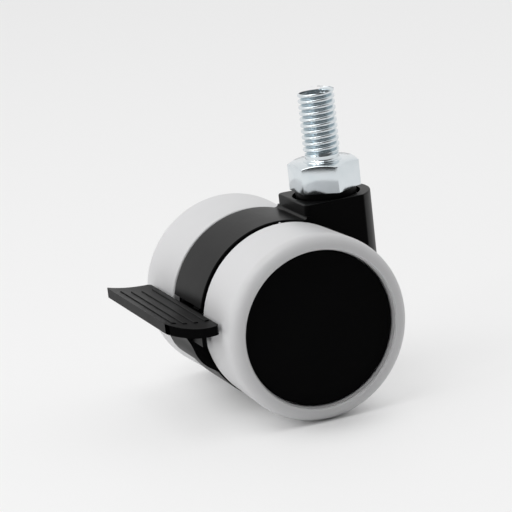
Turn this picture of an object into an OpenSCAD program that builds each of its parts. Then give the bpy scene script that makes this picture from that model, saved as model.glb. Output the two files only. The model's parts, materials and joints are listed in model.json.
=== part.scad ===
// Twin-wheel furniture castor, 50 mm, with a threaded stem and a foot brake.
// The origin is on the swivel axis, at the hexagon's top face, which seats under the furniture.
// The thread points up (+Z). The axle lies in front (-X), along Y, and the pedal in front of it.

/* [Castor] */
// Height of the hexagon's seat face above the floor
mount_height = 61.6; // [60:0.1:64]
// Distance from the swivel axis forward to the axle
trail = 19; // [18.5:0.1:21]
// Width of the housing between the wheels
housing_w = 20.5; // [20:0.1:22]
// Gap between each side of the housing and its wheel
wheel_gap = 1.25; // [1.1:0.05:1.8]

/* [Wheels] */
// Diameter over the tread
wheel_d = 50; // [49:0.5:54]
// Width of one wheel
wheel_w = 22.5; // [20:0.5:26]
// Rounding from the tread to the outer face
shoulder_r = 3.6; // [2:0.1:3.7]
// Rounding of the tread's inner edge
tread_edge_r = 0.7; // [0.4:0.1:1.4]
// How much lower the tread is at its inner edge
tread_taper = 0.5; // [0:0.1:0.8]
// Thickness of the soft tread over the wheel core
tread_t = 2.4; // [1.8:0.1:2.8]
// Width of the grey ring around the cap
face_ring_w = 3.75; // [3.7:0.05:4.4]
// Depth of the cap's face below the ring
cap_recess = 2; // [1.6:0.1:2.6]
// Thickness of the cap
cap_t = 1.7; // [1.2:0.1:2.2]
// Gap around the cap
cap_gap = 0.3; // [0.15:0.05:0.5]
// Thickness of the wheel core's disc
disc_t = 2.5; // [2:0.1:3]
// Number of ribs on the wheel core
core_ribs = 12; // [8:1:14]
// Thickness of these ribs
core_rib_t = 1.3; // [1:0.1:1.6]

/* [Stem] */
// Diameter of the thread
thread_d = 10; // [8:1:12]
// Length of the thread above the hexagon
thread_l = 19.7; // [15:0.1:40]
// Width of the hexagon across its flats
hex_af = 17; // [16:0.5:18]
// Height of the hexagon
hex_h = 7.75; // [6:0.05:8.2]
// Diameter of the collar under the hexagon
collar_d = 13.8; // [13:0.1:14.2]
// Gap between the hexagon and the top of the housing
hex_lift = 1.55; // [1:0.05:2.5]
// Diameter of the swivel pin
pin_d = 10; // [9:0.1:10.4]

/* [Swivel bearing] */
// Wall of the bearing bush around the pin
bush_wall = 1.7; // [1.4:0.1:2]
// Length of the bush below its flange
bush_l = 17.1; // [14:0.1:18]
// Thickness of the bush's flange
flange_t = 1.1; // [0.8:0.1:1.4]
// Diameter of the bush's raised rim, which hides the washer and the collar
rim_d = 16.6; // [16.4:0.1:17]
// Wall of this rim
rim_t = 0.9; // [0.7:0.1:1]
// Thickness of the steel washer on the flange
washer_t = 1.2; // [0.8:0.1:1.4]
// Thickness of the retaining ring at the pin's lower end
clip_t = 0.9; // [0.7:0.1:1.2]

/* [Housing] */
// Radius of the tower around the swivel axis
tower_r = 12; // [11.4:0.1:12.4]
// Distance from the swivel axis to the tower's front face
tower_front = 10.4; // [10.1:0.1:11]
// Depth of the recess in the tower's top
recess_depth = 4; // [3.6:0.1:4.6]
// Diameter of this recess
recess_d = 18.6; // [18.2:0.1:19.2]
// How far the hood's rim lies inside the tread
hood_inset = 0.25; // [0.1:0.05:1]
// Wall of the hood
hood_t = 2; // [1.6:0.1:2.4]
// Thickness of the web between the bosses
web_t = 4; // [3:0.1:5]
// Thickness of the cross ribs
rib_t = 1.6; // [1.2:0.1:2]
// Fillet between the hood and the tower
tower_fillet = 0.8; // [0.5:0.1:1.4]
// Lower end of the hood above the pedal, over the axle
bay_top = 5.4; // [5.3:0.1:7]
// Angle at which the hood's tail ends, below the axle level
tail_angle = 60; // [50:1:70]

/* [Axle] */
// Diameter of the axle
axle_d = 8; // [7:0.1:8.6]
// Wall of the wheel bushes
wheel_bush_t = 1.55; // [1.2:0.05:1.8]
// Thickness of the washers between the housing and the wheels
spacer_t = 0.8; // [0.5:0.1:0.9]
// Thickness of the rings that hold the wheels on the axle
keeper_t = 0.8; // [0.6:0.1:1]

/* [Brake lever] */
// Length of the pedal across both wheels
pedal_l = 54.1; // [50:0.1:60]
// Width of the pedal from its outer to its inner edge
pedal_w = 13.5; // [12:0.1:16]
// Thickness of the pedal
pedal_t = 2.5; // [2:0.1:2.8]
// Height of the pedal's lowest line above the axle
pedal_rise = 4.9; // [4.4:0.05:5]
// Radius of the dish in the pedal's top
dish_r = 28; // [26:1:60]
// Radius of the pedal's rounded ends
pedal_end_r = 15; // [13:0.5:25]
// Number of grip ribs on the pedal
grips = 4; // [2:1:4]
// Distance from one grip rib to the next
grip_pitch = 3; // [2.4:0.1:3.2]
// Length of the grip ribs
grip_l = 41; // [30:1:42]
// Height of the grip ribs
grip_h = 0.4; // [0.3:0.1:0.8]
// Fillet between the lever's front and the pedal's underside
nose_fillet = 14; // [8:0.5:16]
// Width of the lever between the wheels
lever_w = 18.4; // [18:0.1:19.4]
// Diameter of the lever's round cheeks about their pivot
cheek_d = 20.7; // [20:0.1:21.2]
// Thickness of the cheeks
cheek_t = 2.5; // [2:0.1:2.8]
// Wall of the lever's front
lever_wall = 2.2; // [1.8:0.1:2.4]
// Distance of the pivot inside the hood's rim
pivot_inset = 7.5; // [7.4:0.05:8]
// Distance of the pivot below the axle
pivot_drop = 3; // [2.5:0.1:3.5]
// Diameter of the pivot pin
pivot_d = 4; // [3:0.1:4.6]
// Angle through which the lever is pressed to lock the wheels
brake_angle = 12; // [11:0.5:13]
// Reach of the stiffening ribs under the pedal, from the castor's middle
wing_rib_l = 17.2; // [14:0.1:20]

/* [Wheel lock] */
// Teeth on each wheel's lock ring
lock_teeth = 24; // [16:4:28]
// Diameter over the teeth
lock_d = 25.2; // [24.8:0.1:25.6]
// Depth of the teeth
tooth_h = 1.4; // [1.1:0.1:1.6]

/* [Hidden] */
$fn = 96;

// Fits: radial play of what turns, play along an axis, and small clearances of moulded pieces.
run_play = 0.05;
end_play = 0.1;
lever_play = 0.3;
overrun = 1;

steel = "#c9d2d8";
black = "#1b1b1d";
cap_black = "#101011";
grey = "#d3d3d3";
core_grey = "#c4c5c6";
bush_white = "#e9e6dc";

wheel_r = wheel_d / 2;
axle_drop = mount_height - wheel_r;
half_w = housing_w / 2;
wheel_in = half_w + wheel_gap;
wheel_out = wheel_in + wheel_w;
hood_r = wheel_r - hood_inset;
hood_in = hood_r - hood_t;

// Swivel bearing, from the tower's top down.
pin_r = pin_d / 2;
bush_r = pin_r + run_play + bush_wall;
recess_r = recess_d / 2;
flange_r = recess_r - 0.2;
rim_r = rim_d / 2;
rim_top = -hex_h - end_play;
tower_top = -(hex_h + hex_lift);
recess_floor = tower_top - recess_depth;
washer_bottom = recess_floor + flange_t;
collar_bottom = washer_bottom + washer_t + end_play;
bush_bottom = recess_floor - bush_l;
clip_top = bush_bottom - 2 * end_play;
clip_r = pin_r + 1.4;
groove_r = pin_r - 0.8;
pin_end = 1.6;
pin_bottom = clip_top - clip_t - pin_end;
block_bottom = pin_bottom - 1.7;
clip_room = 0.8;
chamfer = 0.9;
crown_drop = 0.8;

// Wheel: distances along the axle from the castor's middle, and radii.
core_r = wheel_r - tread_t;
ring_r = wheel_r - face_ring_w;
inner_r = wheel_r - tread_taper;
seat_r = ring_r - 0.35;
cap_r = seat_r - cap_gap;
ledge_r = cap_r - 0.8;
core_out = wheel_out - 1;
cap_face = wheel_out - cap_recess;
cap_back = cap_face - cap_t;
ledge = cap_back - 0.1;
rib_top = ledge - 3.2;
disc_in = wheel_in + 3;
disc_out = disc_in + disc_t;
boss_out = wheel_out - 8.5;
core_in = half_w + spacer_t + end_play;
axle_r = axle_d / 2;
wheel_bore_r = axle_r + run_play + wheel_bush_t;
boss_wall = 2.9;
boss_r = wheel_bore_r + boss_wall;
mid_ring_r = (boss_r + ledge_r) / 2;
mid_ring_t = 1.2;
keeper_in = boss_out + 2 * end_play;
axle_out = keeper_in + keeper_t + 1.7;
keeper_r = axle_r + 2.8;
axle_boss_wall = 3;
spacer_r = axle_r + axle_boss_wall;
lock_r = lock_d / 2;
lock_root_r = lock_r - tooth_h;
lock_w = disc_in - core_in;

// Housing, seen from the axle.
axle_boss_r = axle_r + axle_boss_wall;
pivot_x = -sqrt(pow(hood_r - pivot_inset, 2) - pow(pivot_drop, 2));
pivot_z = -pivot_drop;
pivot_r = pivot_d / 2;
pivot_boss_r = pivot_r + 2.2;
cheek_r = cheek_d / 2;
bay_r = cheek_r - lever_wall - lever_play - run_play;
room_start = 100;
room_back = 235;
room_end = 270 + brake_angle + 4;
back_x = trail + tower_r;
skirt_z = -2;
skirt_angle = 34;
hood_rib_a = 128;
skirt_rib_a = -10;
foot_rib_a = -65;
skirt_foot = [hood_r * cos(skirt_angle), -hood_r * sin(skirt_angle)];
tail_foot = [-hood_r * cos(tail_angle), -hood_r * sin(tail_angle)];

// Brake lever, seen from the axle.
lever_half = lever_w / 2;
inner_half = lever_half - cheek_t;
pedal_in = -(wheel_r + 0.3);
pedal_out = pedal_in - pedal_w;
dish_inset = 2.1;
dish_x = pedal_in - dish_inset;
end_arc_x = dish_x - dish_inset;
dish_z = pedal_rise + dish_r;
pedal_half = pedal_l / 2;
cheek_top = pedal_rise - 0.7 * pedal_t;
dish_to_pivot = norm([pivot_x - dish_x, pivot_z - dish_z]);
nose_along = (pow(dish_r + pedal_t + nose_fillet, 2) - pow(cheek_r + nose_fillet, 2)
    + pow(dish_to_pivot, 2)) / 2 / dish_to_pivot;
nose_out = sqrt(pow(dish_r + pedal_t + nose_fillet, 2) - pow(nose_along, 2));
nose_dir = [pivot_x - dish_x, pivot_z - dish_z] / dish_to_pivot;
nose = [dish_x, dish_z] + nose_along * nose_dir + nose_out * [nose_dir[1], -nose_dir[0]];
nose_end = [dish_x, dish_z]
    + (nose - [dish_x, dish_z]) * (dish_r + pedal_t) / (dish_r + pedal_t + nose_fillet);
wing_rib_t = 1.3;
wing_rib_x = -(wheel_r + 0.9);
wing_rib_drop = 2.8;
grip_first = pedal_in - 1.1;
grip_w = 1.2;
toe_angle = -126;
toe_span = 16;
toe_r = lock_r + 2.4;
tooth_gap = 0.2;
lug_out = disc_in - 1.2;

module at_axle() { translate([-trail, 0, -axle_drop]) children(); }

// Plate of width w across the castor, from a 2D shape drawn in X and Z.
module across(w) { rotate([90, 0, 0]) linear_extrude(w, center = true) children(); }

// Both sides: the same plate at +Y and -Y, between two distances from the middle.
module both_sides(from, to) {
    for (s = [-1, 1])
        translate([0, s * (from + to) / 2, 0]) across(to - from) children();
}

// Turns about the lever's pivot; a positive angle presses the pedal.
module about_pivot(a) {
    translate([pivot_x, 0, pivot_z]) rotate([0, -a, 0]) translate([-pivot_x, 0, -pivot_z]) children();
}

// Places a wheel piece that is modelled along +Z on the left (-Y) or right (+Y) side.
module on_side(side) { at_axle() rotate([side == "left" ? 90 : -90, 0, 0]) children(); }

module wedge(r, a0, a1) {
    steps = ceil((a1 - a0) / 30);
    reach = r / cos((a1 - a0) / steps / 2) + overrun;
    step = (a1 - a0) / steps;
    polygon(concat([[0, 0]], [for (i = [0 : steps]) reach * [cos(a0 + i * step), sin(a0 + i * step)]]));
}

module tube(r, bore, h) {
    difference() {
        cylinder(h = h, r = r);
        translate([0, 0, -overrun]) cylinder(h = h + 2 * overrun, r = bore);
    }
}

module ring_2d(r, bore) {
    difference() {
        circle(r);
        circle(bore);
    }
}

module pivot_2d(r) { translate([pivot_x, pivot_z]) circle(r); }

// Outline of the lock ring. Grow widens the teeth, for the cut in the lever's toe.
module lock_teeth_2d(grow = 0) {
    pitch = 360 / lock_teeth;
    root = pitch * 0.29 + grow / lock_root_r * 180 / PI;
    tip = pitch * 0.17 + grow / lock_r * 180 / PI;
    circle(lock_root_r + grow);
    for (i = [0 : lock_teeth - 1])
        rotate(i * pitch)
            polygon([
                (lock_root_r - 0.5) * [cos(root), -sin(root)],
                (lock_r + grow) * [cos(tip), -sin(tip)],
                (lock_r + grow) * [cos(tip), sin(tip)],
                (lock_root_r - 0.5) * [cos(root), sin(root)]
            ]);
}

// Stem, turned in one piece: thread, hexagon, collar and swivel pin. The thread's ridges are left off.
module threaded_stem() {
    thread_r = thread_d / 2;
    corner_r = hex_af / 2 / cos(30);
    color(steel)
    difference() {
        union() {
            cylinder(h = thread_l - chamfer, r = thread_r);
            translate([0, 0, thread_l - chamfer]) cylinder(h = chamfer, r1 = thread_r, r2 = thread_r - chamfer);
            intersection() {
                translate([0, 0, -hex_h]) cylinder(h = hex_h, r = corner_r, $fn = 6);
                rotate_extrude()
                    polygon([
                        [0, -hex_h], [corner_r + overrun, -hex_h], [corner_r + overrun, -crown_drop],
                        [corner_r, -crown_drop], [hex_af / 2 - 0.3, 0], [0, 0]
                    ]);
            }
            translate([0, 0, collar_bottom]) cylinder(h = -hex_h - collar_bottom, r = collar_d / 2);
            translate([0, 0, pin_bottom + chamfer]) cylinder(h = -hex_h - pin_bottom - chamfer, r = pin_r);
            translate([0, 0, pin_bottom]) cylinder(h = chamfer, r1 = pin_r - chamfer, r2 = pin_r);
        }
        translate([0, 0, clip_top - clip_t - end_play]) tube(pin_r + overrun, groove_r, clip_t + end_play);
    }
}

module thrust_washer() {
    color(steel)
    translate([0, 0, washer_bottom]) tube(rim_r - rim_t - 0.15, pin_r + 0.3, washer_t);
}

// Flanged bush. Its raised rim closes the gap under the hexagon.
module swivel_bush() {
    color(black)
    difference() {
        union() {
            translate([0, 0, recess_floor]) cylinder(h = flange_t, r = flange_r);
            translate([0, 0, washer_bottom - flange_t / 2])
                tube(rim_r, rim_r - rim_t, rim_top - washer_bottom + flange_t / 2);
            translate([0, 0, bush_bottom]) cylinder(h = bush_l + overrun / 2, r = bush_r);
        }
        translate([0, 0, bush_bottom - overrun])
            cylinder(h = bush_l + flange_t + 2 * overrun, r = pin_r + run_play);
    }
}

// Open retaining ring in the pin's groove.
module stem_clip() {
    color(steel)
    translate([0, 0, clip_top - clip_t])
        linear_extrude(clip_t)
            difference() {
                ring_2d(clip_r, groove_r);
                translate([0, -1.2]) square([clip_r + overrun, 2.4]);
            }
}

module tower_plan() {
    intersection() {
        union() {
            circle(tower_r);
            translate([-tower_front, -half_w]) square([tower_front, housing_w]);
        }
        translate([-tower_front, -half_w]) square([3 * tower_r, housing_w]);
    }
}

// Side outline of the housing behind the hood, down to the open foot, seen from the axle.
module rear_2d(inset = 0) {
    polygon([
        [0, tower_top + axle_drop - inset],
        [back_x - inset, tower_top + axle_drop - inset],
        [back_x - inset, skirt_z + inset / 2],
        [skirt_foot[0] - inset / 2, skirt_foot[1] + inset],
        [0, skirt_foot[1] + inset]
    ]);
}

module tower() {
    translate([0, 0, block_bottom]) linear_extrude(tower_top - block_bottom) tower_plan();
    intersection() {
        translate([0, 0, -mount_height]) linear_extrude(mount_height + block_bottom + overrun) tower_plan();
        at_axle() across(housing_w)
            difference() {
                rear_2d();
                rear_2d(hood_t);
            }
    }
}

// Concave fillet where the hood runs into the tower's front face.
module tower_fillet_2d() {
    face_x = trail - tower_front;
    cx = face_x - tower_fillet;
    cz = sqrt(pow(hood_r + tower_fillet, 2) - cx * cx);
    foot = hood_r / (hood_r + tower_fillet) * [cx, cz];
    difference() {
        polygon([foot, [face_x + 0.5, foot[1] - 0.8], [face_x + 0.5, cz], [cx, cz]]);
        translate([cx, cz]) circle(tower_fillet);
    }
}

// Curved wall of the hood with rounded outer edges.
module hood_wall() {
    edge = 0.5;
    rotate([90, 0, 0])
        rotate_extrude()
            difference() {
                translate([hood_in, -half_w]) square([hood_t, housing_w]);
                for (s = [-1, 1])
                    translate([hood_r - edge, s * (half_w - edge)])
                        difference() {
                            translate([0, s > 0 ? 0 : -edge]) square(edge);
                            circle(edge, $fn = 48);
                        }
            }
}

// What is kept of the hood's wall: from the tower over the top to the pedal, and the tail.
module hood_mask_2d() {
    translate([-2 * hood_r, bay_top]) square([2 * hood_r + trail - tower_front + overrun, 2 * hood_r]);
    difference() {
        wedge(hood_r, 180, 180 + tail_angle);
        pivot_2d(cheek_r + lever_play);
        translate([-2 * hood_r, pivot_z - cheek_r / 2]) square([2 * hood_r, 2 * hood_r]);
    }
}

// Room that the lever's front wall sweeps through in the web.
module lever_room_2d() {
    translate([pivot_x, pivot_z])
        difference() {
            union() {
                wedge(2 * cheek_r, room_start, room_back);
                intersection() {
                    circle(cheek_r + lever_play);
                    wedge(cheek_r + overrun, room_back - 10, room_end);
                }
            }
            circle(bay_r);
        }
}

module web_2d() {
    difference() {
        union() {
            circle(hood_r - hood_t / 2);
            intersection() {
                rear_2d(hood_t / 2);
                translate([0, -hood_r]) square([2 * hood_r, hood_r + block_bottom + axle_drop + overrun]);
            }
        }
        polygon([
            tail_foot, skirt_foot + [-hood_t, hood_t / 2], [2 * hood_r, skirt_foot[1] + hood_t / 2],
            [2 * hood_r, -2 * hood_r], [-2 * hood_r, -2 * hood_r], [-2 * hood_r, tail_foot[1]]
        ]);
        lever_room_2d();
    }
}

// Cross ribs from the axle boss out to the hood, the skirt and the web's lower edge.
module ribs_2d() {
    intersection() {
        union() {
            for (rib = [[hood_rib_a, hood_in + hood_t / 2], [skirt_rib_a, back_x], [foot_rib_a, hood_r]])
                rotate(rib[0])
                    translate([axle_boss_r - 0.5, -rib_t / 2]) square([rib[1] - axle_boss_r, rib_t]);
        }
        web_2d();
    }
}

module housing() {
    color(black)
    difference() {
        union() {
            at_axle() {
                intersection() {
                    hood_wall();
                    across(housing_w + overrun) hood_mask_2d();
                }
                across(housing_w) tower_fillet_2d();
                across(web_t) web_2d();
                intersection() {
                    across(housing_w) ribs_2d();
                    translate([trail, 0, -2 * hood_r]) linear_extrude(4 * hood_r)
                        union() {
                            tower_plan();
                            translate([-3 * hood_r, -half_w]) square([3 * hood_r, housing_w]);
                        }
                }
                across(housing_w) circle(axle_boss_r);
                across(2 * (inner_half - 0.2)) pivot_2d(pivot_boss_r);
            }
            tower();
        }
        translate([0, 0, recess_floor]) cylinder(h = recess_depth + overrun, r = recess_r);
        translate([0, 0, bush_bottom]) cylinder(h = bush_l + overrun, r = bush_r);
        translate([0, 0, block_bottom]) cylinder(h = bush_bottom - block_bottom, r = clip_r + clip_room);
        at_axle() across(housing_w + 2 * overrun) circle(axle_r);
        at_axle() across(housing_w) pivot_2d(pivot_r + run_play);
    }
}

module axle() {
    color(steel)
    at_axle() rotate([90, 0, 0]) {
        cylinder(h = 2 * (axle_out - 0.6), r = axle_r, center = true);
        for (s = [0, 180])
            rotate([s, 0, 0]) translate([0, 0, axle_out - 0.6]) cylinder(h = 0.6, r1 = axle_r, r2 = axle_r - 0.6);
    }
}

module spacer(side) {
    color(steel)
    on_side(side) translate([0, 0, half_w]) tube(spacer_r, axle_r, spacer_t);
}

// Push-on ring with eight teeth that grip the axle's end.
module keeper(side) {
    color(steel)
    on_side(side) translate([0, 0, keeper_in])
        linear_extrude(keeper_t)
            difference() {
                circle(keeper_r);
                circle(axle_r);
                for (i = [0 : 7])
                    rotate(45 * i) translate([axle_r - 0.5, -0.3]) square([1.6, 0.6]);
            }
}

module wheel_bush(side) {
    color(bush_white)
    on_side(side) translate([0, 0, core_in]) tube(wheel_bore_r, axle_r + run_play, boss_out - core_in);
}

// Wheel core: rim, disc, ribbed outer side, hub boss and the lock ring towards the housing.
module wheel_core(side) {
    rim_in = wheel_in + 0.5;
    rib_in = disc_in + disc_t / 2;
    color(core_grey)
    on_side(side)
    difference() {
        union() {
            rotate_extrude() {
                translate([ledge_r, rim_in]) square([core_r - ledge_r, ledge - rim_in]);
                translate([seat_r, ledge - overrun]) square([core_r - seat_r, core_out - ledge + overrun]);
                translate([wheel_bore_r, disc_in]) square([ledge_r - wheel_bore_r + overrun, disc_t]);
                translate([wheel_bore_r, core_in]) square([boss_wall, boss_out - core_in]);
                translate([mid_ring_r - mid_ring_t / 2, rib_in]) square([mid_ring_t, rib_top - rib_in - 0.6]);
            }
            translate([0, 0, core_in]) linear_extrude(lock_w + overrun) lock_teeth_2d();
            for (i = [0 : core_ribs - 1])
                rotate(360 / core_ribs * i)
                    translate([boss_r - 0.5, -core_rib_t / 2, rib_in])
                        cube([ledge_r - boss_r + overrun, core_rib_t, rib_top - rib_in]);
        }
        translate([0, 0, core_in - overrun]) cylinder(h = boss_out - core_in + 2 * overrun, r = wheel_bore_r);
    }
}

// Soft grey tread, moulded over the rim and its outer edge.
module tyre(side) {
    color(grey)
    on_side(side)
    rotate_extrude()
        difference() {
            polygon([
                [ring_r, wheel_in], [inner_r, wheel_in], [inner_r, wheel_in + tread_edge_r],
                [wheel_r, wheel_out - shoulder_r], [wheel_r, wheel_out], [ring_r, wheel_out]
            ]);
            translate([0, wheel_in - overrun]) square([core_r, core_out - wheel_in + overrun]);
            translate([wheel_r - shoulder_r, wheel_out - shoulder_r])
                difference() {
                    square(shoulder_r + overrun);
                    circle(shoulder_r);
                }
            translate([inner_r - tread_edge_r, wheel_in + tread_edge_r])
                difference() {
                    translate([0, -tread_edge_r - overrun]) square(tread_edge_r + overrun);
                    circle(tread_edge_r);
                }
        }
}

// Cap with a rounded edge and a spigot that holds it in the rim.
module cap(side) {
    edge = 0.5;
    color(cap_black)
    on_side(side)
    rotate_extrude()
        union() {
            difference() {
                translate([0, cap_back]) square([cap_r, cap_t]);
                translate([cap_r - edge, cap_face - edge])
                    difference() {
                        square(edge + overrun);
                        circle(edge, $fn = 48);
                    }
            }
            translate([ledge_r - run_play - 1.2, rib_top + 0.2]) square([1.2, cap_back - rib_top]);
        }
}

module pedal_plan() {
    intersection() {
        translate([pedal_out, -pedal_half]) square([pedal_w, pedal_l]);
        union() {
            for (s = [-1, 1])
                translate([end_arc_x, s * (pedal_half - pedal_end_r)]) circle(pedal_end_r);
            translate([pedal_out, -pedal_half + pedal_end_r]) square([pedal_w, pedal_l - 2 * pedal_end_r]);
        }
    }
}

// Section of the dished plate between two heights over its top surface.
module dish_2d(x0, x1, low, high) {
    intersection() {
        translate([dish_x, dish_z]) ring_2d(dish_r - low, dish_r - high);
        translate([x0, pedal_rise - 2 * pedal_t]) square([x1 - x0, 10 * pedal_t]);
    }
}

module pedal() {
    intersection() {
        across(pedal_l) dish_2d(pedal_out, pedal_in, -pedal_t, 0);
        linear_extrude(2 * hood_r, center = true) pedal_plan();
    }
    for (i = [0 : grips - 1])
        across(grip_l)
            dish_2d(grip_first - i * grip_pitch - grip_w / 2, grip_first - i * grip_pitch + grip_w / 2, -0.3, grip_h);
    both_sides(lever_half - 0.5, wing_rib_l)
        translate([wing_rib_x - wing_rib_t, -wing_rib_drop])
            square([wing_rib_t, wing_rib_drop + pedal_rise - pedal_t + 0.5]);
}

// Side outline of the cheeks: round about the pivot, cut flat behind the pedal, and an arm with a
// fillet that touches both the round front and the dish's underside.
module cheek_2d() {
    difference() {
        pivot_2d(cheek_r);
        translate([pivot_x - 2 * cheek_r, cheek_top]) square(4 * cheek_r);
        circle(axle_boss_r + 1.4);
    }
    intersection() {
        difference() {
            polygon([nose, [pivot_x, pivot_z], [pedal_in, cheek_top], nose_end + [0, pedal_t / 2], nose_end]);
            translate(nose) circle(nose_fillet);
        }
        difference() {
            translate([pedal_out, pivot_z - cheek_r]) square(2 * cheek_r);
            translate([dish_x, dish_z]) circle(dish_r + pedal_t / 2);
        }
    }
}

// Toe with the pawl teeth, drawn where it locks the wheels.
module toe_2d() {
    difference() {
        intersection() {
            ring_2d(toe_r, lock_root_r + tooth_gap);
            wedge(toe_r, toe_angle - toe_span, toe_angle + toe_span);
        }
        lock_teeth_2d(tooth_gap);
    }
}

module brake_lever() {
    color(black)
    at_axle()
    difference() {
        union() {
            difference() {
                across(lever_w) cheek_2d();
                across(2 * inner_half)
                    union() {
                        pivot_2d(cheek_r - lever_wall);
                        translate([pivot_x, -2 * hood_r]) square(4 * hood_r);
                    }
            }
            pedal();
            about_pivot(-brake_angle) both_sides(inner_half, lug_out) toe_2d();
        }
        across(2 * lever_w) pivot_2d(pivot_r);
    }
}

module lever_pin() {
    color(steel)
    at_axle() across(lever_w - 0.4) pivot_2d(pivot_r);
}

threaded_stem();
thrust_washer();
swivel_bush();
stem_clip();
housing();
axle();
spacer("left");  // spacer_left
spacer("right");  // spacer_right
keeper("left");  // keeper_left
keeper("right");  // keeper_right
wheel_bush("left");  // wheel_bush_left
wheel_core("left");  // wheel_core_left
tyre("left");  // tyre_left
cap("left");  // cap_left
wheel_bush("right");  // wheel_bush_right
wheel_core("right");  // wheel_core_right
tyre("right");  // tyre_right
cap("right");  // cap_right
brake_lever();
lever_pin();
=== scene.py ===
import json
import math
import bpy
from mathutils import Matrix, Vector


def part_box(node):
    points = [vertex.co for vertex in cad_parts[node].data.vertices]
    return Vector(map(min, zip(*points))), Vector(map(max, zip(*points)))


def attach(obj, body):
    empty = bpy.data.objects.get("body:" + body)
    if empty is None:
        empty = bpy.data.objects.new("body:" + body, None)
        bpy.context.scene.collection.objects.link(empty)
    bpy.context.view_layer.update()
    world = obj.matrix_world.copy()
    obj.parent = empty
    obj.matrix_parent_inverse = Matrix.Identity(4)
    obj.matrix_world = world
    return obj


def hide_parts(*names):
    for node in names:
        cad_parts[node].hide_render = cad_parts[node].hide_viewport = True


# Furniture castor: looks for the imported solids. All lengths are in metres.
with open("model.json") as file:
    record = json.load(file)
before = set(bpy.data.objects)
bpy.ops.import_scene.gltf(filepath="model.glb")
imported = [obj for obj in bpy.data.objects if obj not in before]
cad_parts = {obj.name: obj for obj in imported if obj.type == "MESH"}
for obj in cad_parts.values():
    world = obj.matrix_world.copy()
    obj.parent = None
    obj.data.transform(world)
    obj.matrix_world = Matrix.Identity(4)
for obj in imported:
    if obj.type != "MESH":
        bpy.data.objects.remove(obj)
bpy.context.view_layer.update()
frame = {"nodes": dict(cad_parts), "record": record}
nodes = frame["nodes"]
mm = 0.001
mergeDistance = 0.002 * mm
tolerance = 0.01 * mm

lowTyre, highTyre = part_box("tyre_left")
wheelRadius = (highTyre.z - lowTyre.z) / 2
wheelInner = -highTyre.y
wheelOuter = -lowTyre.y
axlePoint = Vector(((lowTyre.x + highTyre.x) / 2, 0, (lowTyre.z + highTyre.z) / 2))
floorHeight = lowTyre.z
print("frame loaded, wheel radius", round(wheelRadius, 5))


# Selecting and shaping

def clearSelection():
    if bpy.context.object and bpy.context.object.mode != "OBJECT":
        bpy.ops.object.mode_set(mode="OBJECT")
    bpy.ops.object.select_all(action="DESELECT")


def pick(piece):
    clearSelection()
    piece.select_set(True)
    bpy.context.view_layer.objects.active = piece


def addModifier(piece, kind, **settings):
    pick(piece)
    bpy.ops.object.modifier_add(type=kind)
    modifier = piece.modifiers[-1]
    for key, value in settings.items():
        setattr(modifier, key, value)
    bpy.ops.object.modifier_apply(modifier=modifier.name)


def combine(piece, tool, operation):
    addModifier(piece, "BOOLEAN", operation=operation, solver="EXACT", object=tool)
    bpy.data.objects.remove(tool)


def arcPoints(centre, radius, start, end, count):
    # points along an arc, angles in degrees, in the section's own plane
    points = []
    for i in range(count + 1):
        angle = math.radians(start + (end - start) * i / count)
        points.append((centre[0] + radius * math.cos(angle), centre[1] + radius * math.sin(angle)))
    return points


def drawSection(name, points, place):
    # one vertex pulled along the section, point by point
    clearSelection()
    bpy.ops.mesh.primitive_plane_add(size=mm, location=(0, 0, 0))
    piece = bpy.context.object
    piece.name = name
    bpy.ops.object.mode_set(mode="EDIT")
    bpy.ops.mesh.merge(type="CENTER")
    bpy.ops.transform.translate(value=place(points[0]))
    for before, after in zip(points, points[1:]):
        step = place(after) - place(before)
        bpy.ops.mesh.extrude_region_move(TRANSFORM_OT_translate={"value": step})
    bpy.ops.object.mode_set(mode="OBJECT")
    return piece


def closeMesh(piece):
    pick(piece)
    bpy.ops.object.mode_set(mode="EDIT")
    bpy.ops.mesh.select_all(action="SELECT")
    bpy.ops.mesh.remove_doubles(threshold=mergeDistance)
    bpy.ops.mesh.normals_make_consistent(inside=False)
    bpy.ops.object.mode_set(mode="OBJECT")


def turnSection(name, points, place, centre, axis, steps):
    # a drawn section spun once round its axis
    piece = drawSection(name, points, place)
    bpy.ops.object.mode_set(mode="EDIT")
    bpy.ops.mesh.select_all(action="SELECT")
    bpy.ops.mesh.spin(steps=steps, angle=math.tau, center=centre, axis=axis)
    bpy.ops.object.mode_set(mode="OBJECT")
    closeMesh(piece)
    return piece


def smoothByAngle(piece, degrees):
    pick(piece)
    bpy.ops.object.shade_smooth_by_angle(angle=math.radians(degrees))


def finishPiece(piece, material, slot, body, *replaced):
    piece.data.materials.clear()
    piece.data.materials.append(material)
    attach(piece, body)
    if replaced:
        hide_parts(*replaced)


# Materials

class Wire:
    # an output of a material's node, which takes part in sums
    def __init__(self, tree, socket=None):
        self.tree = tree
        self.socket = socket

    def node(self, kind, settings, inputs, output=0):
        made = self.tree.nodes.new(kind)
        for key, value in settings.items():
            if key == "stops":
                ramp = made.color_ramp.elements
                while len(ramp) < len(value):
                    ramp.new(0.5)
                for element, stop in zip(ramp, value):
                    element.position = stop[0]
                    element.color = (*stop[1], 1)
            else:
                setattr(made, key, value)
        for key, value in inputs.items():
            if isinstance(value, Wire):
                self.tree.links.new(value.socket, made.inputs[key])
            else:
                made.inputs[key].default_value = value
        return Wire(self.tree, made.outputs[output])

    def maths(self, operation, *others):
        values = dict(enumerate((self, *others)))
        return self.node("ShaderNodeMath", {"operation": operation}, values)

    def __add__(self, other):
        return self.maths("ADD", other)

    def __sub__(self, other):
        return self.maths("SUBTRACT", other)

    def __mul__(self, other):
        return self.maths("MULTIPLY", other)

    def __rsub__(self, other):
        return self.node("ShaderNodeMath", {"operation": "SUBTRACT"}, {0: other, 1: self})

    __radd__ = __add__
    __rmul__ = __mul__


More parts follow.
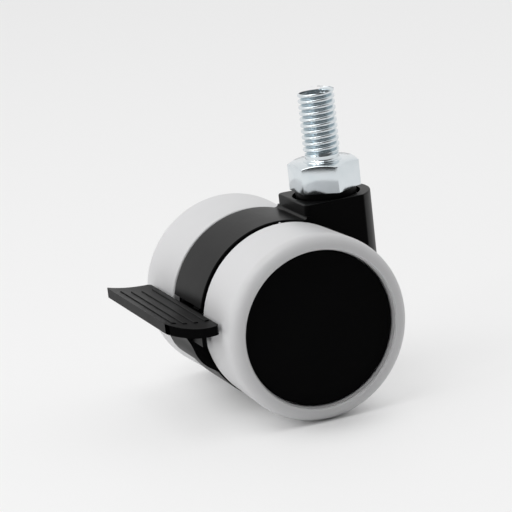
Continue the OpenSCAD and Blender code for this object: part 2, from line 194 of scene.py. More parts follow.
def startMaterial(name, **constants):
    # a Principled shader with its constant values set on its own sockets
    material = bpy.data.materials.new(name)
    material.use_nodes = True
    shader = material.node_tree.nodes["Principled BSDF"]
    for key, value in constants.items():
        shader.inputs[key].default_value = value
    wire = Wire(material.node_tree)
    place = wire.node("ShaderNodeTexCoord", {}, {}, "Object")
    return material, shader, wire, place


def noiseAt(wire, place, scale, detail=3.0):
    return wire.node(
        "ShaderNodeTexNoise", {}, {"Vector": place, "Scale": scale, "Detail": detail, "Roughness": 0.55}
    )


def mixColours(wire, factor, first, second):
    return wire.node(
        "ShaderNodeMix",
        {"data_type": "RGBA"},
        {"Factor": factor, 6: (*first, 1), 7: (*second, 1)},
        2,
    )


def connect(shader, key, wire):
    wire.tree.links.new(wire.socket, shader.inputs[key])


def bump(wire, height, strength, distance):
    values = {"Height": height, "Strength": strength, "Distance": distance}
    return wire.node("ShaderNodeBump", {}, values, "Normal")


zincLook = {
    "pale": (0.80, 0.84, 0.865),
    "deep": (0.66, 0.72, 0.75),
    # painted shade colour for the shaded valleys of the thread
    "groove": (0.54, 0.62, 0.66),
    "grooveFrom": 4.2 * mm,
    "grooveTo": 4.6 * mm,
    "threadFoot": 1.7 * mm,
    "threadTop": 19.1 * mm,
    "roughness": 0.09,
    "threadRoughness": 0.10,
    "patchRoughness": 0.10,
    "patchScale": 260.0,
    "grainScale": 5200.0,
    "grainDetail": 4.0,
    "grainStrength": 0.5,
    "grainDepth": 0.012 * mm,
}


def makeZinc():
    material, shader, wire, place = startMaterial("zincPlate", Metallic=1.0)
    patches = noiseAt(wire, place, zincLook["patchScale"])
    grain = noiseAt(wire, place, zincLook["grainScale"], zincLook["grainDetail"])
    plate = mixColours(wire, patches, zincLook["deep"], zincLook["pale"])
    # painted shade: the plating is painted darker, bluish and dull at the bottom of the thread, where the
    # thread's valleys lie in shade
    across = wire.node("ShaderNodeSeparateXYZ", {}, {"Vector": place}, "X")
    along = wire.node("ShaderNodeSeparateXYZ", {}, {"Vector": place}, "Y")
    height = wire.node("ShaderNodeSeparateXYZ", {}, {"Vector": place}, "Z")
    radius = (across * across + along * along).maths("SQRT")
    aboveFoot = height.maths("GREATER_THAN", zincLook["threadFoot"])
    inThread = aboveFoot * height.maths("LESS_THAN", zincLook["threadTop"])
    deep = wire.node(
        "ShaderNodeMapRange", {"interpolation_type": "SMOOTHSTEP"},
        {"Value": radius, "From Min": zincLook["grooveTo"], "From Max": zincLook["grooveFrom"]},
    )
    colour = wire.node(
        "ShaderNodeMix", {"data_type": "RGBA"},
        {"Factor": deep * inThread, 6: plate, 7: (*zincLook["groove"], 1)}, 2,
    )
    connect(shader, "Base Color", colour)
    rough = patches * zincLook["patchRoughness"] + zincLook["roughness"]
    connect(shader, "Roughness", rough + inThread * zincLook["threadRoughness"])
    connect(shader, "Normal", bump(wire, grain, zincLook["grainStrength"], zincLook["grainDepth"]))
    return material


treadLook = {
    "colour": (0.635, 0.635, 0.642),
    "shade": (0.575, 0.575, 0.582),
    "gloss": 0.45,
    "roughness": 0.34,
    "grainRoughness": 0.12,
    "patchShare": 0.5,
    "patchScale": 90.0,
    "grainScale": 4200.0,
    "grainStrength": 0.35,
    "grainDepth": 0.010 * mm,
}


def makeTread():
    material, shader, wire, place = startMaterial("greyTread", **{"Specular IOR Level": treadLook["gloss"]})
    patches = noiseAt(wire, place, treadLook["patchScale"])
    grain = noiseAt(wire, place, treadLook["grainScale"])
    share = patches * treadLook["patchShare"]
    connect(shader, "Base Color", mixColours(wire, share, treadLook["colour"], treadLook["shade"]))
    connect(shader, "Roughness", grain * treadLook["grainRoughness"] + treadLook["roughness"])
    connect(shader, "Normal", bump(wire, grain, treadLook["grainStrength"], treadLook["grainDepth"]))
    return material


blackLook = {
    "colour": (0.0015, 0.0015, 0.0016),
    "worn": (0.0026, 0.0026, 0.0027),
    "gloss": 0.03,
    "roughness": 0.36,
    "patchRoughness": 0.16,
    "coatRoughness": 0.30,
    "housingShine": 0.32,
    "leverShine": 0.15,
    "sheenFrom": 0.12,
    "sheenTo": 0.62,
    "patchScale": 140.0,
    "grainScale": 3600.0,
    "grainStrength": 0.4,
    "grainDepth": 0.016 * mm,
}


def makeBlack(name, shine):
    constants = {
        "Specular IOR Level": blackLook["gloss"],
        "Coat Roughness": blackLook["coatRoughness"],
        "Coat IOR": 1.5,
    }
    material, shader, wire, place = startMaterial(name, **constants)
    patches = noiseAt(wire, place, blackLook["patchScale"])
    grain = noiseAt(wire, place, blackLook["grainScale"])
    connect(shader, "Base Color", mixColours(wire, patches, blackLook["colour"], blackLook["worn"]))
    connect(shader, "Roughness", patches * blackLook["patchRoughness"] + blackLook["roughness"])
    connect(shader, "Normal", bump(wire, grain, blackLook["grainStrength"], blackLook["grainDepth"]))
    # the moulded skin shines at a low angle and is dead black seen square on
    facing = wire.node("ShaderNodeLayerWeight", {}, {"Blend": 0.5}, "Facing")
    sheen = wire.node(
        "ShaderNodeMapRange", {"interpolation_type": "SMOOTHSTEP"},
        {"Value": facing, "From Min": blackLook["sheenFrom"], "From Max": blackLook["sheenTo"],
         "To Max": shine},
    )
    connect(shader, "Coat Weight", sheen)
    return material


capLook = {
    "colour": (0.0014, 0.0014, 0.0015),
    "worn": (0.0024, 0.0024, 0.0026),
    "gloss": 0.03,
    "roughness": 0.5,
    "grainRoughness": 0.15,
    "patchScale": 60.0,
    "grainScale": 5200.0,
    "grainStrength": 0.3,
    "grainDepth": 0.01 * mm,
}


def makeCapBlack():
    material, shader, wire, place = startMaterial("capBlack", **{"Specular IOR Level": capLook["gloss"]})
    patches = noiseAt(wire, place, capLook["patchScale"])
    grain = noiseAt(wire, place, capLook["grainScale"])
    connect(shader, "Base Color", mixColours(wire, patches, capLook["colour"], capLook["worn"]))
    connect(shader, "Roughness", grain * capLook["grainRoughness"] + capLook["roughness"])
    connect(shader, "Normal", bump(wire, grain, capLook["grainStrength"], capLook["grainDepth"]))
    return material


coreLook = {
    "mouth": (0.46, 0.46, 0.465),
    # painted shade colour for the core's shaded inner side
    "inside": (0.055, 0.055, 0.057),
    "mouthFrom": 26 * mm,
    "mouthTo": 30 * mm,
    "gloss": 0.5,
    "roughness": 0.16,
    "patchRoughness": 0.1,
    "patchScale": 120.0,
    "grainScale": 3000.0,
    "grainStrength": 0.3,
    "grainDepth": 0.008 * mm,
}


def makeCorePlastic():
    # painted shade: the core is painted dark inside, where it lies in shade between the wheels and the
    # housing, and is pale at its mouth, where the tread's material lines it
    material, shader, wire, place = startMaterial("corePlastic", **{"Specular IOR Level": coreLook["gloss"]})
    patches = noiseAt(wire, place, coreLook["patchScale"])
    sideways = wire.node("ShaderNodeSeparateXYZ", {}, {"Vector": place}, "Y").maths("ABSOLUTE")
    mouth = wire.node(
        "ShaderNodeMapRange", {"interpolation_type": "SMOOTHSTEP"},
        {"Value": sideways, "From Min": coreLook["mouthFrom"], "From Max": coreLook["mouthTo"]},
    )
    connect(shader, "Base Color", mixColours(wire, mouth, coreLook["inside"], coreLook["mouth"]))
    connect(shader, "Roughness", patches * coreLook["patchRoughness"] + coreLook["roughness"])
    grain = noiseAt(wire, place, coreLook["grainScale"])
    connect(shader, "Normal", bump(wire, grain, coreLook["grainStrength"], coreLook["grainDepth"]))
    return material


acetalLook = {
    "colour": (0.76, 0.74, 0.67),
    "shade": (0.68, 0.66, 0.58),
    "gloss": 0.5,
    "roughness": 0.28,
    "patchRoughness": 0.1,
    "patchScale": 150.0,
    "grainScale": 2600.0,
    "grainStrength": 0.2,
    "grainDepth": 0.006 * mm,
}


def makeAcetal():
    material, shader, wire, place = startMaterial("acetal", **{"Specular IOR Level": acetalLook["gloss"]})
    patches = noiseAt(wire, place, acetalLook["patchScale"])
    connect(shader, "Base Color", mixColours(wire, patches, acetalLook["colour"], acetalLook["shade"]))
    connect(shader, "Roughness", patches * acetalLook["patchRoughness"] + acetalLook["roughness"])
    grain = noiseAt(wire, place, acetalLook["grainScale"])
    connect(shader, "Normal", bump(wire, grain, acetalLook["grainStrength"], acetalLook["grainDepth"]))
    return material


zinc = makeZinc()
tread = makeTread()
blackNylon = makeBlack("blackNylon", blackLook["housingShine"])
leverNylon = makeBlack("leverNylon", blackLook["leverShine"])
capBlack = makeCapBlack()
corePlastic = makeCorePlastic()
acetal = makeAcetal()
slotMaterials = {
    "zinc_plate": zinc,
    "grey_tread": tread,
    "black_plastic": blackNylon,
    "cap_plastic": capBlack,
    "core_plastic": corePlastic,
    "bush_plastic": acetal,
}
for subpart in frame["record"]["subparts"]:
    solid = nodes[subpart["node"]]
    solid.data.materials.clear()
    solid.data.materials.append(slotMaterials[subpart["material_slot"]])
print("materials made")


# Stem: rolled thread, hexagon, collar and swivel pin

stemSizes = {
    "threadRadius": 5.0 * mm,
    "pitch": 1.65 * mm,
    "depth": 0.9 * mm,
    "turns": 13,
    "steps": 72,
    "neckRadius": 4.6 * mm,
    "neckHeight": 1.5 * mm,
    "neckFlare": 0.45 * mm,
    "neckSink": 0.06 * mm,
    "neckLap": 0.1 * mm,
    "runOut": 1.0,
    "startLift": 0.02 * mm,
    "endDrop": 0.1 * mm,
    "footStep": 0.25 * mm,
    "footHeight": 0.2 * mm,
    "footReach": 0.4 * mm,
    "footSink": 0.1 * mm,
    "footDepth": 1 * mm,
    "tipInset": 0.02 * mm,
    "tipHeight": 1.25 * mm,
    "tipStep": 0.9 * mm,
    "tipRise": 0.45 * mm,
    "tipChamfer": 0.5 * mm,
    "tipCrown": 0.06 * mm,
    "hexAcross": 17.0 * mm,
    "hexChamfer": 0.8 * mm,
    "hexEdge": 0.14 * mm,
    "hexReach": 0.97,
    "crownDrop": 0.01 * mm,
    "crownReach": 0.05 * mm,
    "crownInset": 0.3 * mm,
    "crownLift": 0.06 * mm,
    "crownSteps": 96,
    "collarRadius": 6.9 * mm,
    "collarLift": 0.3 * mm,
    "collarChamfer": 0.2 * mm,
    "washerGap": 0.1 * mm,
    "clipPlay": 0.1 * mm,
    "pinRadius": 5.0 * mm,
    "pinChamfer": 0.9 * mm,
    "grooveDepth": 0.8 * mm,
    "smoothAngle": 32,
}
# one tooth of the rolled thread: height in pitches, depth below the crest
toothShape = [
    (0.00, 1.0), (0.08, 1.0), (0.15, 0.93), (0.36, 0.22), (0.42, 0.09), (0.49, 0.02), (0.56, 0.0),
    (0.66, 0.0), (0.73, 0.02), (0.80, 0.09), (0.86, 0.22),
]


def stemPlace(point):
    return Vector((point[0], 0, point[1]))


def makeThread(top):
    # a comb-shaped edge, one tooth a turn, screwed up by its own pitch
    sizes = stemSizes
    pitch = sizes["pitch"]
    points = []
    for turn in range(sizes["turns"]):
        base = sizes["neckHeight"] + (turn - 1) * pitch
        for height, depth in toothShape:
            points.append((sizes["threadRadius"] - depth * sizes["depth"], base + height * pitch))
    root = sizes["threadRadius"] - sizes["depth"]
    points.append((root, sizes["neckHeight"] + (sizes["turns"] - 1) * pitch))
    piece = drawSection("stemVisual", points, stemPlace)
    addModifier(
        piece, "SCREW", axis="Z", screw_offset=pitch, steps=sizes["steps"], render_steps=sizes["steps"],
        use_merge_vertices=True, merge_threshold=mergeDistance,
    )
    pick(piece)
    bpy.ops.object.mode_set(mode="EDIT")
    bpy.ops.mesh.select_all(action="SELECT")
    bpy.ops.mesh.remove_doubles(threshold=mergeDistance)
    low = sizes["neckHeight"] + sizes["startLift"]
    high = top - sizes["tipChamfer"] - sizes["endDrop"]
    bpy.ops.mesh.bisect(plane_co=(0, 0, low), plane_no=(0, 0, 1), use_fill=True, clear_inner=True)
    bpy.ops.mesh.select_all(action="SELECT")
    bpy.ops.mesh.bisect(plane_co=(0, 0, high), plane_no=(0, 0, 1), use_fill=True, clear_outer=True)
    bpy.ops.object.mode_set(mode="OBJECT")
    for vertex in piece.data.vertices:
        # the first turn grows out of the neck
        radius = math.hypot(vertex.co.x, vertex.co.y)
        runOut = min(1, (vertex.co.z - low) / (sizes["runOut"] * pitch))
        start = sizes["neckRadius"] - sizes["neckSink"]
        limit = sizes["threadRadius"] * runOut + start * (1 - runOut)
        if radius > limit:
            vertex.co.x *= limit / radius
            vertex.co.y *= limit / radius
    closeMesh(piece)
    return piece


def makeStem():
    sizes = stemSizes
    low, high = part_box("threaded_stem")
    corner = sizes["hexAcross"] / 2 / math.cos(math.pi / 6)
    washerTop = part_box("thrust_washer")[1].z
    hexBottom = nodeLevel("threaded_stem", corner * sizes["hexReach"])
    pinRadius = sizes["pinRadius"]
    grooveRadius = pinRadius - sizes["grooveDepth"]
    stud = makeThread(high.z)
    chamfer = sizes["tipChamfer"]
    outer = sizes["threadRadius"] - sizes["tipInset"]
    tipLow = high.z - sizes["tipHeight"]
    tip = [(0, tipLow), (outer - sizes["tipStep"], tipLow), (outer, tipLow + sizes["tipRise"])]
    tip += [(outer, high.z - chamfer), (outer - chamfer * 0.86, high.z - sizes["tipCrown"])]
    tip += [(outer - chamfer * 1.05, high.z), (0, high.z)]
    end = turnSection("tip", tip, stemPlace, (0, 0, 0), (0, 0, 1), sizes["steps"])
    neck = sizes["neckRadius"]
    flare = sizes["neckFlare"]
    foot = neck + flare
    neckTop = sizes["neckHeight"] + sizes["neckLap"]
    body = [(0, neckTop), (neck, neckTop)]
    body += arcPoints((foot, flare + sizes["footStep"]), flare, 180, 270, 6)
    body += [(foot + sizes["footStep"], sizes["footHeight"]), (foot + sizes["footReach"], -sizes["footSink"])]
    collar = sizes["collarRadius"]
    shoulderLevel = washerTop + sizes["washerGap"]
    body += [(foot + sizes["footReach"], -sizes["footDepth"]), (collar, -sizes["footDepth"])]
    body += [(collar, washerTop + sizes["collarLift"]), (collar - sizes["collarChamfer"], shoulderLevel)]
    body += [(pinRadius, shoulderLevel)]
    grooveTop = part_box("stem_clip")[1].z
    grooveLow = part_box("stem_clip")[0].z - sizes["clipPlay"]
    body += [(pinRadius, grooveTop), (grooveRadius, grooveTop)]
    body += [(grooveRadius, grooveLow), (pinRadius, grooveLow)]
    pinChamfer = sizes["pinChamfer"]
    body += [(pinRadius, low.z + pinChamfer), (pinRadius - pinChamfer, low.z), (0, low.z)]
    shank = turnSection("shank", body, stemPlace, (0, 0, 0), (0, 0, 1), sizes["steps"])
    clearSelection()
    bpy.ops.mesh.primitive_cylinder_add(
        vertices=6, radius=corner, depth=-hexBottom, location=(0, 0, hexBottom / 2)
    )
    hexagon = bpy.context.object
    pick(hexagon)
    bpy.ops.object.transform_apply(location=True, rotation=True, scale=True)
    crownLow = hexBottom - sizes["crownDrop"]
    crownOut = corner + sizes["crownReach"]
    crown = [(0, crownLow), (crownOut, crownLow), (crownOut, -sizes["hexChamfer"])]
    crown += [(sizes["hexAcross"] / 2 - sizes["crownInset"], sizes["crownLift"]), (0, sizes["crownLift"])]
    cone = turnSection("crown", crown, stemPlace, (0, 0, 0), (0, 0, 1), sizes["crownSteps"])
    combine(hexagon, cone, "INTERSECT")
    addModifier(hexagon, "BEVEL", width=sizes["hexEdge"], segments=2, limit_method="ANGLE", angle_limit=0.5)
    combine(stud, end, "UNION")
    combine(stud, hexagon, "UNION")
    combine(stud, shank, "UNION")
    closeMesh(stud)
    smoothByAngle(stud, sizes["smoothAngle"])
    return stud


def nodeLevel(name, beyond):
    # the lowest point of a node at more than a given distance from the swivel axis
    corners = nodes[name].data.vertices
    return min(v.co.z for v in corners if math.hypot(v.co.x, v.co.y) > beyond)


stem = makeStem()
finishPiece(stem, zinc, "zinc_plate", "stem", "threaded_stem")
print("stem made", len(stem.data.polygons))


# Wheels: tread with its face ring, and the cap

treadSizes = {
    "shoulder": 3.6 * mm,
    "innerEdge": 0.55 * mm,
    "taper": 0.5 * mm,
    "nib": 0.34 * mm,
    "bore": 22.6 * mm,
    "ring": 21.25 * mm,
    "ringEdge": 0.26 * mm,
    "ringSink": 0.01 * mm,
    "lipDepth": 1.0 * mm,
    "nibSink": 0.02 * mm,
    "steps": 192,
}


def makeTyre(side):
    sizes = treadSizes
    sign = -1 if side == "left" else 1

    def place(point):
        return axlePoint + Vector((point[0], sign * point[1], 0))

    edge = sizes["innerEdge"]
    shoulder = sizes["shoulder"]
    ringEdge = sizes["ringEdge"]
    points = [(sizes["bore"], wheelInner)]
    points += arcPoints((wheelRadius - sizes["taper"] - edge, wheelInner + edge), edge, -90, 0, 8)
    points += arcPoints((wheelRadius - shoulder, wheelOuter - shoulder), shoulder, 0, 86, 16)
    ringLevel = wheelOuter - ringEdge - sizes["ringSink"]
    points += arcPoints((sizes["ring"] + ringEdge, ringLevel), ringEdge, 90, 180, 5)
    lip = wheelOuter - sizes["lipDepth"]
    points += [(sizes["ring"], lip), (sizes["bore"], lip)]
    points += [points[0]]
    piece = turnSection("tread" + side.capitalize(), points, place, axlePoint, (0, 1, 0), sizes["steps"])
    if side == "left":
        # a nib is left where the mould was filled
        clearSelection()
        nibRise = wheelRadius - sizes["taper"] - sizes["nibSink"]
        nibPlace = place((0, wheelInner + edge)) + Vector((0, 0, nibRise))
        bpy.ops.mesh.primitive_uv_sphere_add(
            segments=16, ring_count=8, radius=sizes["nib"], location=nibPlace
        )
        nib = bpy.context.object
        bpy.ops.object.transform_apply(location=True, rotation=True, scale=True)
        combine(piece, nib, "UNION")
    smoothByAngle(piece, 40)
    finishPiece(piece, tread, "grey_tread", "wheel_" + side, "tyre_" + side)


capSizes = {"edge": 0.45 * mm, "plate": 1.7 * mm, "skirt": 1.2 * mm, "steps": 160}


def makeCap(side):
    sign = -1 if side == "left" else 1
    low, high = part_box("cap_" + side)
    radius = (high.z - low.z) / 2
    face = max(abs(low.y), abs(high.y))
    inner = min(abs(low.y), abs(high.y))
    back = face - capSizes["plate"]
    ledge = nodeRadius("cap_" + side, inner)

    def place(point):
        return axlePoint + Vector((point[0], sign * point[1], 0))

    edge = capSizes["edge"]
    skirt = ledge - capSizes["skirt"]
    points = [(0, back), (skirt, back), (skirt, inner), (ledge, inner), (ledge, back), (radius, back)]
    points += arcPoints((radius - edge, face - edge), edge, 0, 90, 7)
    points += [(radius * 0.5, face), (0, face)]
    name = "cap" + side.capitalize()
    piece = turnSection(name, points, place, axlePoint, (0, 1, 0), capSizes["steps"])
    smoothByAngle(piece, 40)
    finishPiece(piece, capBlack, "cap_plastic", "wheel_" + side, "cap_" + side)


def nodeRadius(name, level):
    # the widest radius about the axle that a node has at a given distance from the middle
    widest = 0
    for vertex in nodes[name].data.vertices:
        if abs(abs(vertex.co.y) - level) < tolerance:
            reach = math.hypot(vertex.co.x - axlePoint.x, vertex.co.z - axlePoint.z)
            widest = max(widest, reach)
    return widest


for side in ("left", "right"):
    makeTyre(side)
    makeCap(side)
print("wheels made")


# Moulded housing and lever: the solids with their edges rounded as the mould leaves them

def roundEdges(piece, choose, width, segments):
    # edges whose two ends are both among the chosen points
    pick(piece)
    bpy.ops.object.mode_set(mode="EDIT")
    bpy.ops.mesh.select_mode(type="EDGE")
    bpy.ops.mesh.select_all(action="DESELECT")
    bpy.ops.object.mode_set(mode="OBJECT")
    corners = piece.data.vertices
    count = 0
    for edge in piece.data.edges:
        first, second = (corners[index].co for index in edge.vertices)
        edge.select = choose(first, second)
        count += edge.select
    bpy.ops.object.mode_set(mode="EDIT")
    bpy.ops.mesh.bevel(offset=width, segments=segments, affect="EDGES", clamp_overlap=True)
    bpy.ops.mesh.select_mode(type="VERT")
    bpy.ops.object.mode_set(mode="OBJECT")
    print(piece.name, "edges rounded", count)


def startSoft(node, name):
    clearSelection()
    piece = bpy.data.objects.new(name, nodes[node].data.copy())
    bpy.context.scene.collection.objects.link(piece)
    pick(piece)
    bpy.ops.mesh.customdata_custom_splitnormals_clear()
    bpy.ops.object.mode_set(mode="EDIT")
    bpy.ops.mesh.select_all(action="SELECT")
    bpy.ops.mesh.remove_doubles(threshold=mergeDistance)
    bpy.ops.mesh.dissolve_limited(angle_limit=math.radians(0.6))
    bpy.ops.object.mode_set(mode="OBJECT")
    return piece


def endSoft(piece, width, angle):
    addModifier(
        piece, "BEVEL", width=width, segments=3, limit_method="ANGLE", angle_limit=math.radians(angle),
        use_clamp_overlap=True, miter_outer="MITER_ARC",
    )
    smoothByAngle(piece, 35)
    addModifier(piece, "WEIGHTED_NORMAL", keep_sharp=True, weight=50)


def makePrism(points, low, high):
    # a closed outline seen from above, raised between two heights
    outline = drawSection("prism", points, lambda point: Vector((point[0], point[1], low)))
    bpy.ops.object.mode_set(mode="EDIT")
    bpy.ops.mesh.select_all(action="SELECT")
    bpy.ops.mesh.edge_face_add()
    bpy.ops.mesh.extrude_region_move(TRANSFORM_OT_translate={"value": (0, 0, high - low)})
    bpy.ops.object.mode_set(mode="OBJECT")
    closeMesh(outline)
    return outline


housingSizes = {
    "towerFront": 10.4 * mm,
    "halfWidth": 10.25 * mm,
    "recessRadius": 9.3 * mm,
    "recessSlack": 0.1 * mm,
    "cornerRound": 1.7 * mm,
    "cornerFoot": -12.27 * mm,
    "topRound": 0.5 * mm,
    "edge": 0.25 * mm,
}


def makeHousing():
    sizes = housingSizes
    piece = startSoft("housing", "housingMoulded")
    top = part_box("housing")[1].z

    # the tower's two front corners are rounded, down to the fillet on the hood
    x, y, radius = -sizes["towerFront"], sizes["halfWidth"], sizes["cornerRound"]
    for way in (-1, 1):
        points = [(x - mm, way * (y + mm)), (x - mm, way * (y - radius))]
        points += [(px, way * py) for px, py in arcPoints((x + radius, y - radius), radius, 180, 90, 8)]
        points += [(x + radius, way * (y + mm))]
        combine(piece, makePrism(points, sizes["cornerFoot"], top + mm), "DIFFERENCE")

    def rim(first, second):
        nearest = min(math.hypot(point.x, point.y) for point in (first, second))
        inside = nearest < sizes["recessRadius"] + sizes["recessSlack"]
        return not inside and min(first.z, second.z) > top - tolerance

    roundEdges(piece, rim, sizes["topRound"], 4)
    endSoft(piece, sizes["edge"], 40)
    return piece


pedalSizes = {
    "inner": 25.3 * mm,
    "width": 13.5 * mm,
    "half": 27.05 * mm,
    "dishRadius": 28 * mm,
    "dishInset": 2.1 * mm,
    "rise": 4.9 * mm,
    "gripHeight": 0.4 * mm,
    "gripSunk": 0.12 * mm,
    "gripRound": 0.22 * mm,
    "endRadius": 15 * mm,
    "outerRound": 2.3 * mm,
    "innerRound": 1.6 * mm,
    "drumHalf": 17.5 * mm,
    "gripSlack": 0.03 * mm,
    "reach": 40 * mm,
    "slack": 0.03 * mm,
    "edge": 0.25 * mm,
}


def makeLever():
    sizes = pedalSizes
    piece = startSoft("brake_lever", "leverMoulded")
    dishRise = sizes["rise"] + sizes["dishRadius"]
    dish = axlePoint + Vector((-sizes["inner"] - sizes["dishInset"], 0, dishRise))
    gripRadius = sizes["dishRadius"] - sizes["gripHeight"]

    def dishDistance(point):
        return math.hypot(point.x - dish.x, point.z - dish.z)

    def onGrip(point):
        return abs(dishDistance(point) - gripRadius) < sizes["gripSlack"]

    for corner in piece.data.vertices:
        if onGrip(corner.co):
            away = Vector((corner.co.x - dish.x, 0, corner.co.z - dish.z))
            corner.co += away.normalized() * sizes["gripSunk"]
    gripRadius += sizes["gripSunk"]
    roundEdges(piece, lambda first, second: onGrip(first) and onGrip(second), sizes["gripRound"], 3)
    # the plan of the pedal with rounded corners; the middle part keeps the drum
    endRadius = sizes["endRadius"]
    outer = axlePoint.x - sizes["inner"] - sizes["width"]
    inner = axlePoint.x - sizes["inner"]
    centre = (dish.x - sizes["dishInset"], sizes["half"] - endRadius)
    slack = sizes["slack"]
    corners = []
    outerRound, innerRound = sizes["outerRound"], sizes["innerRound"]
    for x, radius in ((outer + outerRound, outerRound), (inner - innerRound, innerRound)):
        y = centre[1] + math.sqrt((endRadius - radius) ** 2 - (x - centre[0]) ** 2)
        turn = math.degrees(math.atan2(y - centre[1], x - centre[0]))
        corners.append((x, y, radius + slack, turn))
    first, last = corners
    half = arcPoints(first[:2], first[2], 180, first[3], 8)
    half += arcPoints(centre, endRadius + slack, first[3], last[3], 24)[1:-1]
    half += arcPoints(last[:2], last[2], last[3], 0, 8)
    half += [(inner + slack, sizes["drumHalf"]), (inner + sizes["reach"], sizes["drumHalf"])]
    points = half + [(x, -y) for x, y in reversed(half)]
    low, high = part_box("brake_lever")
    combine(piece, makePrism(points, low.z - mm, high.z + mm), "INTERSECT")
    endSoft(piece, sizes["edge"], 40)
    return piece


coreSizes = {"edge": 0.18 * mm, "angle": 50}

finishPiece(makeHousing(), blackNylon, "black_plastic", "housing", "housing")
finishPiece(makeLever(), leverNylon, "black_plastic", "brake_lever", "brake_lever")
for side in ("left", "right"):
    core = startSoft("wheel_core_" + side, "core" + side.capitalize())
    endSoft(core, coreSizes["edge"], coreSizes["angle"])
    finishPiece(core, corePlastic, "core_plastic", "wheel_" + side, "wheel_core_" + side)
print("moulded pieces made")


# Floor, lamps and camera

floorLook = {
    "size": 8.0,
    "colour": (0.88, 0.88, 0.88),
    "shadeScale": 2.0,
    "shadeShare": 0.2,
    "shadeLevel": 0.98,
    "roughness": 0.6,
    # painted light on the paper, which lightens the object's shadow away from the contact
    "glow": (0.90, 0.90, 0.90),
    "glowShare": 0.62,
    "halfWidth": 33 * mm,
    "glowFrom": 0.0,
    "glowTo": 25 * mm,
}


def makeFloor():
    clearSelection()
    bpy.ops.mesh.primitive_plane_add(size=floorLook["size"], location=(0, 0, floorHeight))
    floor = bpy.context.object
    floor.name = "studioFloor"
    bpy.ops.object.transform_apply(location=True, rotation=True, scale=True)
    material, shader, wire, place = startMaterial("paleFloor", Roughness=floorLook["roughness"])
    shade = noiseAt(wire, place, floorLook["shadeScale"]) * floorLook["shadeShare"]
    pale = floorLook["colour"]
    shaded = tuple(floorLook["shadeLevel"] * channel for channel in pale)
    connect(shader, "Base Color", mixColours(wire, shade, pale, shaded))
    # painted light: seen straight or mirrored, the paper is given a glow that lifts the object's shadow on
    # it, less and less towards the wheels' contact, where the shadow stays dark
    along = wire.node("ShaderNodeSeparateXYZ", {}, {"Vector": place}, "X") - axlePoint.x
    across = wire.node("ShaderNodeSeparateXYZ", {}, {"Vector": place}, "Y").maths("ABSOLUTE")
    across = (across - floorLook["halfWidth"]).maths("MAXIMUM", 0)
    distance = (along * along + across * across).maths("SQRT")
    reach = wire.node(
        "ShaderNodeMapRange", {"interpolation_type": "SMOOTHSTEP"},
        {"Value": distance, "From Min": floorLook["glowFrom"], "From Max": floorLook["glowTo"]},
    )
    seen = wire.node("ShaderNodeLightPath", {}, {}, "Is Camera Ray")
    mirrored = wire.node("ShaderNodeLightPath", {}, {}, "Is Glossy Ray")
    passed = wire.node("ShaderNodeLightPath", {}, {}, "Is Transmission Ray")
    glow = wire.node(
        "ShaderNodeEmission", {}, {"Color": (*floorLook["glow"], 1), "Strength": 1.0}, "Emission"
    )
    glowing = (seen + mirrored + passed) * reach * floorLook["glowShare"]
    paper = wire.node("ShaderNodeMixShader", {}, {"Fac": glowing})
    wire.tree.links.new(shader.outputs["BSDF"], paper.socket.node.inputs[1])
    wire.tree.links.new(glow.socket, paper.socket.node.inputs[2])
    output = next(node for node in wire.tree.nodes if node.type == "OUTPUT_MATERIAL")
    wire.tree.links.new(paper.socket, output.inputs["Surface"])
    floor.data.materials.append(material)


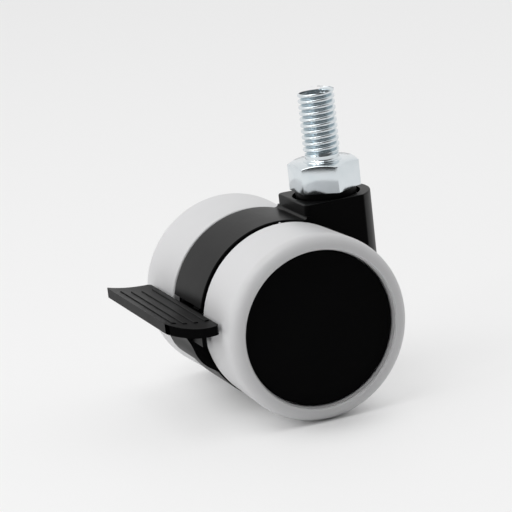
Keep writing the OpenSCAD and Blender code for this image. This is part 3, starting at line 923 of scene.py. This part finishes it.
lamps = {
    "overhead": {
        "place": (-0.33, -0.1, 0.92), "aim": (-0.01, 0, -0.03), "size": (0.6, 0.6), "power": 3.4,
    },
    "leftWindow": {
        "place": (-0.85, 0.1, 0.58), "aim": (-0.02, 0, -0.03), "size": (0.6, 0.6), "power": 1.1,
    },
    "sideStrip": {
        "place": (-0.93, -0.2, 0.26), "aim": (-0.01, 0, -0.03), "size": (0.12, 0.4), "power": 0.9,
    },
    "frontStrip": {
        "place": (-0.76, -0.49, 0.42), "aim": (-0.01, 0, -0.02), "size": (0.10, 0.7), "power": 0.7,
    },
}
tent = {
    "openTowards": (-0.26, -0.966, 0.0),
    "bright": 0.88,
    "dark": 0.04,
    "rim": 0.17,
    "middle": 0.5,
}


def makeLamps():
    for name, values in lamps.items():
        clearSelection()
        bpy.ops.object.light_add(type="AREA", location=values["place"])
        lamp = bpy.context.object
        lamp.name = name
        lamp.data.shape = "RECTANGLE"
        lamp.data.size, lamp.data.size_y = values["size"]
        lamp.data.energy = values["power"]
        aim = Vector(values["aim"]) - Vector(values["place"])
        lamp.rotation_euler = aim.to_track_quat("-Z", "Y").to_euler()


def makeTent():
    # even white all round, dark only on the side where the photographer stands
    world = bpy.data.worlds.new("studioTent")
    bpy.context.scene.world = world
    world.use_nodes = True
    wire = Wire(world.node_tree)
    direction = wire.node("ShaderNodeTexCoord", {}, {}, "Generated")
    towards = wire.node(
        "ShaderNodeVectorMath", {"operation": "DOT_PRODUCT"}, {0: direction, 1: tent["openTowards"]}, "Value"
    )
    stops = [(tent["rim"], (tent["bright"],) * 3), (tent["middle"], (tent["dark"],) * 3)]
    shade = wire.node("ShaderNodeValToRGB", {"stops": stops}, {"Fac": towards}, "Color")
    background = world.node_tree.nodes["Background"]
    wire.tree.links.new(shade.socket, background.inputs["Color"])


view = {
    "fromAxle": (-233.4 * mm, -618.0 * mm, 180.35 * mm),
    "turn": 20.43,
    "down": 14.17,
    "roll": 6.51,
    "lens": 177.6,
    "clipStart": 0.02,
}


def makeCamera():
    clearSelection()
    bpy.ops.object.camera_add(location=axlePoint + Vector(view["fromAxle"]))
    camera = bpy.context.object
    camera.name = "photoCamera"
    camera.data.lens = view["lens"]
    camera.data.clip_start = view["clipStart"]
    turned = Matrix.Rotation(math.radians(-view["turn"]), 3, "Z") @ Matrix.Rotation(
        math.radians(90 - view["down"]), 3, "X"
    )
    rolled = turned @ Matrix.Rotation(math.radians(-view["roll"]), 3, "Z")
    camera.rotation_euler = rolled.to_euler()
    bpy.context.scene.camera = camera


makeFloor()
makeLamps()
makeTent()
makeCamera()
bpy.context.scene.view_settings.view_transform = "Standard"
print("floor, lamps and camera set")
